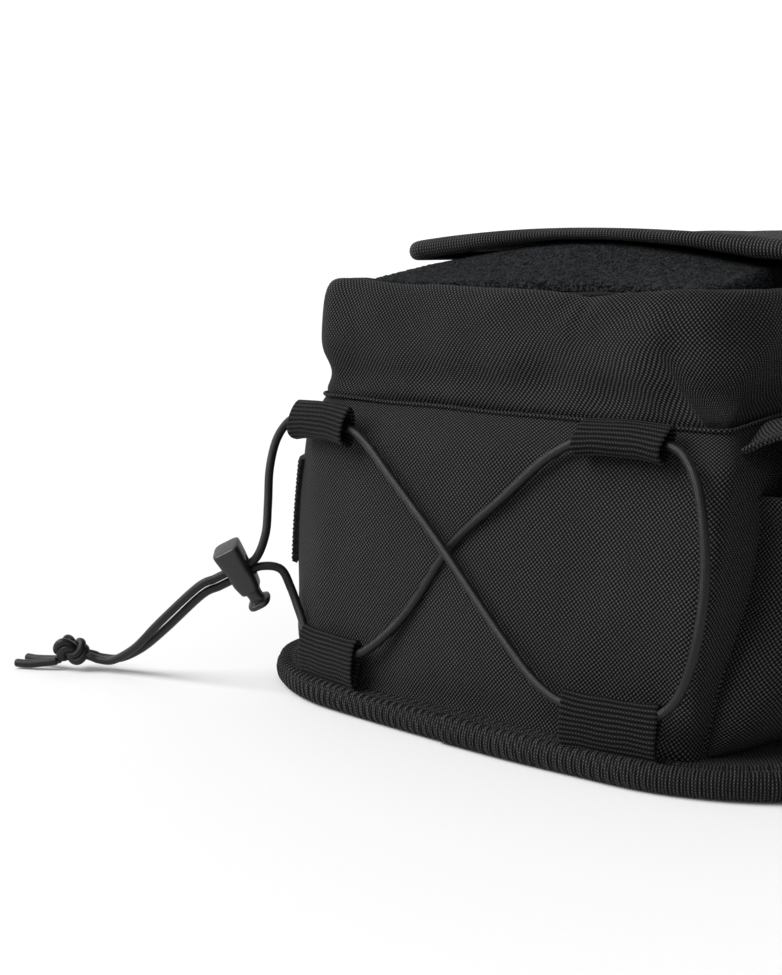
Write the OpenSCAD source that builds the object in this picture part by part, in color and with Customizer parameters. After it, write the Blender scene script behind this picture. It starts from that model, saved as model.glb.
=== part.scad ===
// Soft gear bag on a bound base, with a flap top, a front pocket and corded ends.
// Millimetres, +Z up. The origin is the middle of the underside. X runs along the bag,
// the corded end is at -X, the pocket is on the -Y side and the grip strip is on the +Y side.

/* [Base] */
// Length over the bound edge
base_l = 304; // [240:1:420]
// Width over the bound edge
base_w = 244; // [180:1:320]
// Thickness of the padded base
base_t = 9; // [6:0.5:16]
// Corner radius of the base
base_r = 62; // [20:1:90]
// How far the middle of each end stands out beyond its corners
base_bow = 9; // [0:0.5:20]

/* [Body] */
// Height of the soft bend where the shoulder starts
bend_z = 91; // [60:1:140]
// Height of the seam between body and collar
seam_z = 101; // [70:1:160]
// Height of the collar's top edge
collar_z = 141; // [100:1:220]
// Half length of the collar
collar_x = 120; // [80:1:180]
// Pocket side of the collar
collar_near = -75; // [-100:1:-50]
// Back side of the collar
collar_far = 96; // [50:1:120]
// Outer cloth thickness
cloth_t = 1.2; // [0.8:0.1:2]
// Foam thickness in the walls
foam_t = 5; // [2:0.5:10]
// Lining thickness
lining_t = 0.8; // [0.5:0.1:1.5]

/* [Lid and flap] */
// Crest of the padded lid
lid_z = 153.5; // [146:0.5:175]
// Fall of the lid from its crest to its long edges
lid_drop = 8; // [2:0.5:16]
// Half length of the top flap
flap_x = 80; // [50:1:110]
// Free edge of the top flap
flap_far = 91; // [60:1:110]
// Radius of the flap's free corners
flap_r = 24; // [5:1:40]

/* [Pocket] */
// Plane of the wall between the pocket and the main compartment
divider_y = -83; // [-100:1:-70]
// Height of the pocket's mouth
pocket_z = 82; // [50:1:95]
// Half length of the pocket flap
pocket_flap_x = 116; // [80:1:125]

/* [Cord] */
// Elastic cord diameter
cord_d = 3; // [2:0.5:5]
// Webbing width
webbing_w = 32; // [20:1:50]
// Webbing thickness
webbing_t = 1.1; // [0.8:0.1:2]

/* [Hidden] */

cloth_colour = [0.20, 0.21, 0.22];
tape_colour = [0.17, 0.18, 0.19];
pile_colour = [0.18, 0.19, 0.21];
black = [0.08, 0.08, 0.09];
foam_colour = [0.55, 0.55, 0.57];
lining_colour = [0.30, 0.31, 0.33];

arc_steps = 8;      // facets in each rounded corner
end_steps = 4;      // facets across each bowed end
floor_z = base_t - cloth_t;
body_inset = 8.5;   // body cloth to base edge
lip = 9;            // how far the binding laps under the base
inner = cloth_t + foam_t;
inside = inner + lining_t;

// Wall sections from the base up: height, half length, pocket side, back side, corner, bow
walls = [
    [floor_z, base_l / 2 - body_inset, -base_w / 2 + body_inset, base_w / 2 - body_inset, 50, 9],
    [bend_z, 131, -112, 112, 38, 4],
    [seam_z, collar_x + 1, collar_near - 2, collar_far, 14, 1],
    [collar_z, collar_x, collar_near, collar_far, 12, 1]];

// ---------- outlines ----------

function arc(cx, cy, r, a) =
    [for (i = [0 : arc_steps]) [cx + r * cos(a + 90 * i / arc_steps), cy + r * sin(a + 90 * i / arc_steps)]];

// Points between the corners of one bowed end, where the outline is flat before it is bowed
function end_run(x, y0, y1) =
    [for (i = [1 : end_steps - 1]) [x, y0 + (y1 - y0) * i / end_steps]];

function bowed(p, hx, y0, y1, bow) =
    let (t = (2 * p[1] - y0 - y1) / (y1 - y0))
    [p[0] - sign(p[0]) * bow * t * t * pow(abs(p[0]) / hx, 6), p[1]];

// Rounded rectangle with bowed ends, counter-clockwise
function outline(hx, y0, y1, r, bow) =
    [for (p = concat(arc(hx - r, y1 - r, r, 0), arc(-hx + r, y1 - r, r, 90),
                     end_run(-hx, y1 - r, y0 + r), arc(-hx + r, y0 + r, r, 180),
                     arc(hx - r, y0 + r, r, 270), end_run(hx, y0 + r, y1 - r)))
        bowed(p, hx, y0, y1, bow)];

function inset(s, i) = outline(s[1] - i, s[2] + i, s[3] - i, max(s[4] - i, 3), s[5]);

function base_outline(i) = outline(base_l / 2 - i, -base_w / 2 + i, base_w / 2 - i, base_r - i, base_bow);

function mix(a, b, t) = a + (b - a) * t;

// Wall section at any height
function section(z) =
    z <= walls[0][0] ? concat([z], [for (k = [1 : 5]) walls[0][k]]) :
    z >= collar_z ? concat([z], [for (k = [1 : 5]) walls[3][k]]) :
    let (j = z < walls[1][0] ? 0 : z < walls[2][0] ? 1 : 2,
         t = (z - walls[j][0]) / (walls[j + 1][0] - walls[j][0]))
    [for (k = [0 : 5]) mix(walls[j][k], walls[j + 1][k], t)];

// ---------- solids ----------

// Closed solid through rings of equal count, each ring a [height, outline] pair
module loft(rings) {
    n = len(rings[0][1]);
    m = len(rings);
    points = [for (r = rings) for (p = r[1]) [p[0], p[1], r[0]]];
    sides = [for (k = [0 : m - 2]) for (i = [0 : n - 1]) for (half = [0, 1])
        let (a = k * n + i, b = k * n + (i + 1) % n)
        half == 0 ? [a, a + n, b + n] : [a, b + n, b]];
    caps = [[for (i = [0 : n - 1]) i], [for (i = [0 : n - 1]) m * n - 1 - i]];
    polyhedron(points, concat(sides, caps));
}

// The bag's outer form, inset by i, between two heights
module bag(i, z0, z1) {
    heights = concat([z0], [for (s = walls) if (s[0] > z0 && s[0] < z1) s[0]], [z1]);
    loft([for (z = heights) [z, inset(section(z), i)]]);
}

// The main compartment's form: the bag behind the divider
module main_room(i, z0, z1) {
    intersection() {
        bag(i, z0, z1);
        translate([-200, divider_y + i, -10]) cube([400, 300, 200]);
    }
}

module slab(z0, z1, i) {
    translate([0, 0, z0]) linear_extrude(z1 - z0) polygon(base_outline(i));
}

// Corner seams run at 45 degrees, so each panel is a wedge of the wall
wedge_at = 29;
module end_wedge(side) {
    mirror([side < 0 ? 0 : 1, 0, 0]) linear_extrude(200)
        polygon([[-wedge_at, 0], [-wedge_at - 200, 200], [-wedge_at - 200, -200]]);
}
module side_wedge(side) {
    linear_extrude(200) polygon([[0, -side * wedge_at], [200 + wedge_at, side * 200], [-200 - wedge_at, side * 200]]);
}

module box(x0, x1, y0, y1, z0, z1) {
    translate([x0, y0, z0]) cube([x1 - x0, y1 - y0, z1 - z0]);
}

// A skin on the bag's wall, t thick and standing off by gap
module patch(gap, t, x, y0, y1, z0, z1) {
    intersection() {
        difference() {
            bag(-gap - t, z0, z1);
            bag(-gap, z0 - 1, z1 + 1);
        }
        box(-x, x, y0, y1, z0, z1);
    }
}

// ---------- base ----------

module base_cloth() { color(cloth_colour) slab(0, cloth_t, lip); }
module base_board() { color(black) slab(cloth_t, 3.2, 2); }
module base_foam() { color(foam_colour) slab(3.2, floor_z - cloth_t, 2); }
module floor_cloth() { color(cloth_colour) slab(floor_z - cloth_t, floor_z, 2); }

module base_binding() {
    color(tape_colour) difference() {
        slab(0, base_t, 0);
        slab(cloth_t, floor_z, 2);
        slab(-1, base_t + 1, lip);
        slab(floor_z - 0.5, base_t + 1, body_inset - 2.4);
    }
}

// ---------- walls ----------

module wall_cloth() {
    difference() {
        bag(0, floor_z, seam_z);
        bag(cloth_t, floor_z - 1, seam_z + 1);
    }
}

module end_panel(side) {
    color(cloth_colour) intersection() {
        wall_cloth();
        end_wedge(side);
    }
}

module back_panel() {
    color(cloth_colour) intersection() {
        wall_cloth();
        side_wedge(1);
    }
}

module divider_panel() {
    color(cloth_colour) intersection() {
        bag(cloth_t, floor_z, seam_z);
        box(-200, 200, divider_y, divider_y + cloth_t, 0, 200);
    }
}

module wall_foam() {
    difference() {
        main_room(cloth_t, floor_z, seam_z);
        main_room(inner, floor_z - 1, seam_z + 1);
    }
}

foam_split = 105;
module end_foam(side) {
    color(foam_colour) intersection() {
        wall_foam();
        mirror([side < 0 ? 0 : 1, 0, 0]) box(-200, -foam_split, -200, 200, 0, 200);
    }
}
module back_foam() {
    color(foam_colour) intersection() {
        wall_foam();
        box(-foam_split, foam_split, 0, 200, 0, 200);
    }
}
module divider_foam() {
    color(foam_colour) intersection() {
        wall_foam();
        box(-foam_split, foam_split, -200, 0, 0, 200);
    }
}

module lining() {
    color(lining_colour) difference() {
        main_room(inner, floor_z, collar_z - cloth_t);
        main_room(inside, floor_z + lining_t, collar_z + 1);
    }
}

// ---------- collar ----------

module collar() {
    color(cloth_colour) difference() {
        bag(0, seam_z, collar_z);
        bag(cloth_t, seam_z - 1, collar_z - cloth_t);
        bag(inside, seam_z - 1, collar_z + 1);
    }
}

module collar_foam() {
    color(foam_colour) difference() {
        bag(cloth_t, seam_z, collar_z - cloth_t);
        bag(inner, seam_z - 1, collar_z);
    }
}

welt_h = 2;
module collar_welt() {
    color(tape_colour) difference() {
        bag(-1.6, seam_z, seam_z + welt_h);
        bag(-0.1, seam_z - 1, seam_z + welt_h + 1);
    }
}

// ---------- pocket ----------

module pocket_wall(out, in, z0, z1) {
    intersection() {
        difference() {
            bag(out, z0, z1);
            bag(in, z0 - 1, z1 + 1);
        }
        side_wedge(-1);
    }
}

module pocket_face() { color(cloth_colour) pocket_wall(0, cloth_t, floor_z, pocket_z); }

module pocket_hem() {
    color(tape_colour) difference() {
        pocket_wall(-0.8, cloth_t + 0.8, pocket_z - 8, pocket_z + 1);
        bag(-0.05, pocket_z - 9, pocket_z);
    }
    color(tape_colour) intersection() {
        pocket_wall(cloth_t + 0.05, cloth_t + 0.8, pocket_z - 8, pocket_z + 0.5);
    }
}

module pocket_loop_strip() { color(black) patch(0.1, 0.9, 60, -200, 0, 58, pocket_z - 9); }

// Side view of the pocket flap: it slopes out from the collar, then drops over the mouth
pocket_axis = [-80, 104];
hood = [[-81.5, 103], [-115.8, 94], [-115.8, 70], [-119, 70], [-119, 96.5], [-81.5, 106.2]];

module along_x(x0, x1) {
    translate([x0, 0, 0]) rotate([90, 0, 90]) linear_extrude(x1 - x0) children();
}

module pocket_flap() {
    color(cloth_colour) along_x(-pocket_flap_x, pocket_flap_x) polygon(hood);
}

module pocket_flap_binding() {
    color(tape_colour) difference() {
        along_x(-pocket_flap_x - 0.8, pocket_flap_x + 0.8)
            polygon([[-115.2, 76], [-115.2, 69.2], [-119.6, 69.2], [-119.6, 76]]);
        pocket_flap();
    }
}

module pocket_flap_hook() {
    color(black) box(-60, 60, -115.2, -114.4, 76.5, 92);
}

// ---------- strips on the back ----------

module back_grip_strip() { color(black) patch(0.1, 1.6, 108, 0, 200, 41, 79); }

// ---------- lid and top flap ----------

lid_y = 8;
lid_half = 77;
lid_x = 107;
lid_near = -64;
lid_far = 85;
lid_under = 134;
lid_rim = 141;
arch_steps = 14;
function arch(y) = lid_z - lid_drop * pow((y - lid_y) / lid_half, 2);

// Side view of a layer that lies over the lid, from height a to height b above it
function layer(y0, y1, a, b) = concat(
    [for (i = [0 : arch_steps]) let (y = mix(y0, y1, i / arch_steps)) [y, arch(y) + a]],
    [for (i = [0 : arch_steps]) let (y = mix(y1, y0, i / arch_steps)) [y, arch(y) + b]]);

module lid_form() {
    hull() {
        along_x(-flap_x, flap_x) polygon(concat([[lid_far, lid_under], [lid_near, lid_under]],
            [for (i = [0 : arch_steps]) let (y = mix(lid_near, lid_far, i / arch_steps)) [y, arch(y)]]));
        box(-lid_x, lid_x, lid_near, lid_far, lid_under, lid_rim);
    }
}

pile_t = 1.5;
module lid_pile() {
    color(pile_colour) difference() {
        lid_form();
        translate([0, 0, -pile_t]) lid_form();
        box(-200, 200, -200, 200, 0, lid_under + 1);
    }
}
module lid_foam() {
    color(foam_colour) intersection() {
        translate([0, 0, -pile_t]) lid_form();
        box(-200, 200, -200, 200, lid_under + lining_t, 200);
    }
}
module lid_lining() { color(lining_colour) box(-lid_x, lid_x, lid_near, lid_far, lid_under, lid_under + lining_t); }
module lid_hinge_tape() { color(tape_colour) box(-90, 90, -67, -66, 118, 134); }

flap_near = -75.5;
module flap_outline(i) {
    hull() {
        for (s = [-1, 1]) {
            translate([s * (flap_x - flap_r), flap_far - flap_r]) circle(flap_r - i, $fn = 40);
            translate([s * (flap_x - i - 2), flap_near + 2]) circle(2, $fn = 16);
        }
    }
}

module flap_layer(a, b, i) {
    intersection() {
        along_x(-flap_x, flap_x) polygon(layer(flap_near, flap_far, a, b));
        translate([0, 0, 100]) linear_extrude(80) flap_outline(i);
    }
}

module top_flap() { color(cloth_colour) flap_layer(1.7, 4.9, 2); }

module top_flap_binding() {
    color(tape_colour) difference() {
        flap_layer(0.7, 5.9, 0);
        translate([0, 0, 90]) linear_extrude(100) flap_outline(6);
        flap_layer(1.7, 4.9, 2);
        box(-200, 200, -200, -70, 0, 200);
    }
}

module top_flap_hook() {
    color(black) intersection() {
        along_x(-60, 60) polygon(layer(40, 78, 0.5, 1.6));
        box(-200, 200, -200, 200, 0, 200);
    }
}

module top_flap_hinge_tape() { color(tape_colour) patch(0.1, 1, 74, -200, 0, 116, 140); }

// ---------- webbing loops ----------

// A flat tunnel of webbing along Y: h tall, room wide enough for one cord
tunnel = 4.4;
module webbing_loop(w, h) {
    t = tunnel / 2;
    rotate([90, 0, 0]) translate([0, 0, -w / 2]) linear_extrude(w) difference() {
        hull() for (s = [-1, 1]) translate([0, s * (h / 2 - t - webbing_t)]) circle(t + webbing_t, $fn = 32);
        hull() for (s = [-1, 1]) translate([0, s * (h / 2 - t - webbing_t)]) circle(t, $fn = 32);
    }
}

// Where each loop sits on the corded end: centre, turn to follow the corner, lean, height
loop_places = [
    [[-133, 76.5, 93.5], -8, 6, 13],
    [[-130.6, -50, 97.5], 2, 30, 11],
    [[-144.4, 61.5, 17], -9, 9, 16],
    [[-145.3, -58, 17], 9, 9, 16]];

module place_loop(k, side) {
    p = loop_places[k];
    color(tape_colour) mirror([side < 0 ? 0 : 1, 0, 0]) translate(p[0]) rotate([0, 0, p[1]])
        rotate([0, p[2], 0]) webbing_loop(webbing_w, p[3]);
}

// ---------- cord and lock ----------

function unit(v) = v / norm(v);
lock_at = [-148, 103, 41];
lock_up = unit([-0.50, 0.17, 0.85]);
lock_back = unit(cross(lock_up, [0.53, -0.71, 0.46]));
lock_side = cross(lock_back, lock_up);
function in_lock(x, z) = lock_at + x * lock_side + z * lock_up;

module in_lock_frame() {
    multmatrix([for (k = [0 : 2]) [lock_side[k], lock_back[k], lock_up[k], lock_at[k]]]) children();
}

strand = 1.65;      // each strand's offset from the middle of the lock's hole
slide = 12;         // straight run for the lock to slide on

// The cord's route: out of the lock, through the four loops and back
lacing_route = concat(
    [in_lock(0, strand), in_lock(7, strand)],
    [[-141.5, 97, 54], [-138.5, 99, 64], [-135.8, 101, 76], [-132, 101.5, 86], [-129.3, 98, 92.4],
     [-130.4, 91, 93.9], [-133, 76.5, 93.5], [-135, 62, 93], [-135.8, 52, 88.5], [-138, 38, 78.5], [-141, 14, 60.5],
     [-145, -14, 38], [-147, -32, 25], [-147.2, -45, 20.5], [-145.3, -58, 19.5], [-143, -71.5, 21.3],
     [-141.5, -79.5, 29], [-140, -84, 45], [-137, -84, 64], [-133.8, -79.5, 84], [-131.3, -72, 95], [-130.6, -62, 97.9],
     [-130.6, -50, 97.8], [-131, -36, 97], [-132.8, -23, 90.5], [-135, -8, 77.5], [-137.5, 12, 60],
     [-141, 27, 38], [-145, 39, 25], [-146.1, 49, 19.8], [-144.4, 61.5, 19.2], [-141, 75, 20.6], [-137.6, 84, 28],
     [-137, 89, 35.5], [-138.8, 92.3, 42]],
    [in_lock(7, -strand), in_lock(0, -strand)]);

knot_at = [-176, 165, 7];
knot_r = 7;
function tail_route(s) = concat(
    [for (x = [-0.4, -9, -5 - slide, -9 - slide]) in_lock(x, s * strand)],
    [[-162 - 1.4 * s, 129 + 0.4 * s, 20 + s], [-164.5 - 1.7 * s, 140, 10.5 + 0.3 * s],
     [-167 - 1.8 * s, 150 - 0.4 * s, 5], [-169.5 - 1.4 * s, 156.5 - 1.2 * s, 4.5]],
    [knot_at + [4.6 - 1.4 * s, -5.6 - 1.2 * s, -1.5]]);
function tip_route(s) = s > 0 ?
    [knot_at + [-2, 6, -4.5], knot_at + [-5, 14, -4.5], knot_at + [-6.6, 20, -4.5]] :
    [knot_at + [-5, 4, -4.5], knot_at + [-10, 11, -4.9], knot_at + [-13.5, 17, -5]];

// A smooth run through a route's points, with steps rings to each stretch
function smooth(p, steps) =
    [for (i = [0 : len(p) - 2]) for (j = [0 : steps - 1])
        let (a = p[max(i - 1, 0)], b = p[i], c = p[i + 1], d = p[min(i + 2, len(p) - 1)], t = j / steps)
        (2 * b + (c - a) * t + (2 * a - 5 * b + 4 * c - d) * t * t + (3 * b - a - 3 * c + d) * t * t * t) / 2,
     p[len(p) - 1]];

module cord(p, facing) {
    sides = 8;
    n = len(p);
    points = [for (i = [0 : n - 1])
        let (along = unit(p[min(i + 1, n - 1)] - p[max(i - 1, 0)]),
             across = unit(cross(along, facing)),
             up = cross(along, across))
        for (k = [0 : sides - 1]) p[i] + cord_d / 2 * (cos(360 * k / sides) * across + sin(360 * k / sides) * up)];
    skin = [for (i = [0 : n - 2]) for (k = [0 : sides - 1]) for (half = [0, 1])
        let (a = i * sides + k, b = i * sides + (k + 1) % sides)
        half == 0 ? [a, b + sides, a + sides] : [a, b, b + sides]];
    ends = [[for (k = [0 : sides - 1]) sides - 1 - k], [for (k = [0 : sides - 1]) (n - 1) * sides + k]];
    polyhedron(points, concat(skin, ends));
}

module lacing_cord() { color(black) cord(smooth(lacing_route, 2), [1, 0.02, 0]); }
module cord_tail(s) { color(black) cord(smooth(tail_route(s), 2), [1, 0.6, 0]); }
module cord_tip(s) { color(black) cord(tip_route(s), [0, 0, 1]); }
module cord_knot() {
    color(black) difference() {
        translate(knot_at) sphere(knot_r, $fn = 32);
        for (s = [-1, 1]) {
            cord_tail(s);
            cord_tip(s);
        }
    }
}

barrel_top = 10.5;
barrel_foot = -8;
bore_d = 7;
stem_d = 6.4;
hole_w = 3.5;
press = 3;

module lock_barrel() {
    color(black) in_lock_frame() difference() {
        hull() {
            translate([0, 0, barrel_foot]) linear_extrude(barrel_top - barrel_foot - 1)
                polygon([for (a = [0 : 60 : 300]) [5 * cos(a), 5.6 * sin(a)]]);
            translate([0, 0, barrel_foot]) linear_extrude(barrel_top - barrel_foot)
                polygon([for (a = [0 : 60 : 300]) [4 * cos(a), 4.8 * sin(a)]]);
        }
        translate([0, 0, barrel_foot - 1]) cylinder(d = bore_d, h = barrel_top - 1.5 - barrel_foot + 1, $fn = 48);
        box(-8, 8, -hole_w / 2, hole_w / 2, -3.4, 5);
    }
}

module lock_plunger() {
    color(black) in_lock_frame() difference() {
        union() {
            translate([0, 0, -12.4]) cylinder(d = stem_d, h = 17.2, $fn = 48);
            translate([0, 0, -14.5]) linear_extrude(2.2) polygon([for (a = [0 : 30 : 330]) [4.2 * cos(a), 5 * sin(a)]]);
        }
        box(-8, 8, -hole_w / 2, hole_w / 2, -3.4 - press, 3.4);
    }
}

module lock_spring() {
    color(foam_colour) in_lock_frame() translate([0, 0, 4.85]) difference() {
        cylinder(d = 6, h = 4.1, $fn = 32);
        translate([0, 0, -1]) cylinder(d = 4.8, h = 7, $fn = 32);
    }
}

base_cloth();
base_board();
base_foam();
floor_cloth();
base_binding();
end_panel(-1);  // end_panel_left
end_panel(1);  // end_panel_right
back_panel();
divider_panel();
pocket_face();
pocket_hem();
pocket_loop_strip();
end_foam(-1);  // end_foam_left
end_foam(1);  // end_foam_right
back_foam();
divider_foam();
lining();
collar();
collar_foam();
collar_welt();
back_grip_strip();
place_loop(0, -1);  // loop_left_top_back
place_loop(1, -1);  // loop_left_top_front
place_loop(2, -1);  // loop_left_low_back
place_loop(3, -1);  // loop_left_low_front
place_loop(0, 1);  // loop_right_top_back
place_loop(1, 1);  // loop_right_top_front
place_loop(2, 1);  // loop_right_low_back
place_loop(3, 1);  // loop_right_low_front
lid_pile();
lid_foam();
lid_lining();
lid_hinge_tape();
top_flap();
top_flap_binding();
top_flap_hook();
top_flap_hinge_tape();
pocket_flap();
pocket_flap_binding();
pocket_flap_hook();
lacing_cord();
cord_tail(1);  // cord_tail_upper
cord_tail(-1);  // cord_tail_lower
cord_knot();
cord_tip(1);  // cord_tip_upper
cord_tip(-1);  // cord_tip_lower
lock_barrel();
lock_plunger();
lock_spring();
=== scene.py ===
# Looks for the soft gear bag: cloth skins, bound edges, webbing, cord and lock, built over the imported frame.
# Shapes are worked out in millimetres in the frame's axes and become metres when a mesh is made.
import math

import bmesh
import bpy
import numpy as np
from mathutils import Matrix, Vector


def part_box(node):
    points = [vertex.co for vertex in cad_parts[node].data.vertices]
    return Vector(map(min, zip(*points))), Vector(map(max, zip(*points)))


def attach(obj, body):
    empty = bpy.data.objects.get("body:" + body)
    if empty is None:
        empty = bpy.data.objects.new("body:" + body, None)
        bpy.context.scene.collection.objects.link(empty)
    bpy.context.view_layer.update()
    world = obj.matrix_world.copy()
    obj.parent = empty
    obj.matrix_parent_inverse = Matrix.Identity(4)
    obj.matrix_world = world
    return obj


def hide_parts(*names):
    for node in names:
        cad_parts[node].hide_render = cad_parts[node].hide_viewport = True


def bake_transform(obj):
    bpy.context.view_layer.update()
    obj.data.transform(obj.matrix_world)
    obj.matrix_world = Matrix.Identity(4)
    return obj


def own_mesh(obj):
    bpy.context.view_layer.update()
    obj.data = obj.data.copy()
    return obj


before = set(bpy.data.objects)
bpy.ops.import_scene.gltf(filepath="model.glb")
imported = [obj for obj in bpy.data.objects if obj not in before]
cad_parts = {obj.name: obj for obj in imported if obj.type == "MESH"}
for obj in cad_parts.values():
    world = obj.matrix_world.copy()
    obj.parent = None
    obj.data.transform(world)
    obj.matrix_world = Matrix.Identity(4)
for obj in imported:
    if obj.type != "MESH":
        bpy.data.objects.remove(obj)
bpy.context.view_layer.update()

MM = 0.001


def node_box(name):
    """A CAD node's lowest and highest corners, in millimetres."""
    low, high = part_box(name)
    return np.array(low) / MM, np.array(high) / MM


def unit(v):
    """A direction, or each row of directions, at length 1."""
    v = np.asarray(v, float)
    return v / np.linalg.norm(v, axis=-1, keepdims=True)


# ---------- driving sizes, in millimetres, from the frame where it holds them ----------

base_high = node_box("base_binding")[1]
collar_low = node_box("collar")[0]
lid_low, lid_high = node_box("lid_pile")
hood_low, hood_high = node_box("pocket_flap")
grip_low, grip_high = node_box("back_grip_strip")

BASE_HALF = base_high[0]            # half length over the bound edge
BASE_SIDE = base_high[1]            # half width over the bound edge
BASE_CORNER = 62
BASE_BOW = 9                        # how far the ends stand out at their middles
SEAM_Z = collar_low[2]              # seam between body and collar
COLLAR_HALF = 120
COLLAR_NEAR = -76
COLLAR_FAR = 96
COLLAR_TOP = 141
BEND_Z = 91                         # soft bend where the shoulder starts
CORD = 3.0
WEBBING = 32


# ---------- plan outlines and grids ----------

def signed_power(value, power):
    """A power of the value's size, with its sign kept."""
    return np.sign(value) * np.abs(value) ** power


def outline(half, near, far, near_corner, far_corner, bow=0.0, chamfer=2.0):
    """Plan points of a rounded rectangle with bowed ends, from the middle of the near side round by the
    corded end. chamfer shapes the near corners: 2 is a round, less is flatter."""
    points = []

    def straight(a, b, count):
        steps = np.arange(count)[:, None] / count
        points.append(np.array(a, float) + (np.array(b, float) - a) * steps)

    def corner(x, y, radius, turn, count, power):
        a = np.radians(turn) - math.pi / 2 * np.arange(count) / count
        c = signed_power(np.cos(a), 2 / power)
        s = signed_power(np.sin(a), 2 / power)
        points.append(np.stack([x + radius * c, y + radius * s], 1))

    n, f = near_corner, far_corner
    straight((0, near), (-half + n, near), 36)
    corner(-half + n, near + n, n, -90, 14, chamfer)
    straight((-half, near + n), (-half, far - f), 54)
    corner(-half + f, far - f, f, 180, 18, 2)
    straight((-half + f, far), (half - f, far), 72)
    corner(half - f, far - f, f, 90, 18, 2)
    straight((half, far - f), (half, near + n), 54)
    corner(half - n, near + n, n, 0, 14, chamfer)
    straight((half - n, near), (0, near), 36)
    p = np.concatenate(points)
    across = (2 * p[:, 1] - near - far) / (far - near)
    p[:, 0] -= np.sign(p[:, 0]) * bow * across ** 2 * np.abs(p[:, 0] / half) ** 6
    return p


def at_height(plan, z):
    return np.column_stack([plan, np.broadcast_to(z, len(plan))])


def distances(line):
    """How far along a line each of its points is."""
    return np.r_[0, np.cumsum(np.linalg.norm(np.diff(line, axis=0), axis=1))]


def length_of(line):
    return float(np.linalg.norm(np.diff(line, axis=0), axis=1).sum())


def resample(points, count, closed=False):
    """The same line with evenly spaced points."""
    p = np.asarray(points, float)
    if closed:
        p = np.vstack([p, p[:1]])
    distance = distances(p)
    wanted = np.linspace(0, distance[-1], count, endpoint=not closed)
    return np.stack([np.interp(wanted, distance, p[:, k]) for k in range(p.shape[1])], 1)


def smooth_line(points, steps):
    """A smooth run through a route's points, the same rule as the CAD cord's."""
    p = [np.array(q, float) for q in points]
    last = len(p) - 1
    line = []
    for i in range(last):
        a, b, c, d = p[max(i - 1, 0)], p[i], p[i + 1], p[min(i + 2, last)]
        for t in np.arange(steps) / steps:
            line.append((2 * b + (c - a) * t + (2 * a - 5 * b + 4 * c - d) * t ** 2
                         + (3 * b - a - 3 * c + d) * t ** 3) / 2)
    line.append(p[last])
    return np.array(line)


def bump(value, middle, width):
    """1 at the middle, falling smoothly to 0 a few widths away."""
    return np.exp(-((value - middle) / width) ** 2)


def ramp(value, low, high):
    """0 up to low, rising smoothly to 1 at high."""
    t = np.clip((value - low) / (high - low), 0, 1)
    return t * t * (3 - 2 * t)


def waves(points, length, seed):
    """Soft irregular waves of about that length, mostly within 1 of zero, the same on every run."""
    rng = np.random.default_rng(seed)
    total = np.zeros(np.asarray(points).shape[:-1])
    for _ in range(7):
        direction = unit(rng.normal(size=3)) * 2 * math.pi / (length * rng.uniform(0.7, 1.6))
        total += np.sin(points @ direction + rng.uniform(0, 2 * math.pi))
    return total / 4


def plan_waves(plan, length, seed):
    return waves(at_height(plan, 0), length, seed)


def grid_normals(grid, closed):
    """Unit normals of a grid of points, rows by columns."""
    if closed:
        across = np.roll(grid, -1, 1) - np.roll(grid, 1, 1)
    else:
        across = np.gradient(grid, axis=1)
    up = np.gradient(grid, axis=0)
    n = np.cross(across, up)
    return n / np.maximum(np.linalg.norm(n, axis=2, keepdims=True), 1e-9)


# ---------- meshes ----------

def new_object(name, data):
    made = bpy.data.objects.new(name, data)
    bpy.context.scene.collection.objects.link(made)
    return made


def mesh_object(name, mesh, material):
    mesh.materials.append(material)
    return new_object(name, mesh)


def settle(obj, *modifiers):
    """Applies modifiers, each (type, settings), so that the mesh is final."""
    for kind, settings in modifiers:
        m = obj.modifiers.new(kind, kind)
        for key, value in settings.items():
            setattr(m, key, value)
    bpy.context.view_layer.update()
    done = bpy.data.meshes.new_from_object(obj.evaluated_get(bpy.context.evaluated_depsgraph_get()))
    obj.modifiers.clear()
    obj.data = done
    return obj


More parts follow.
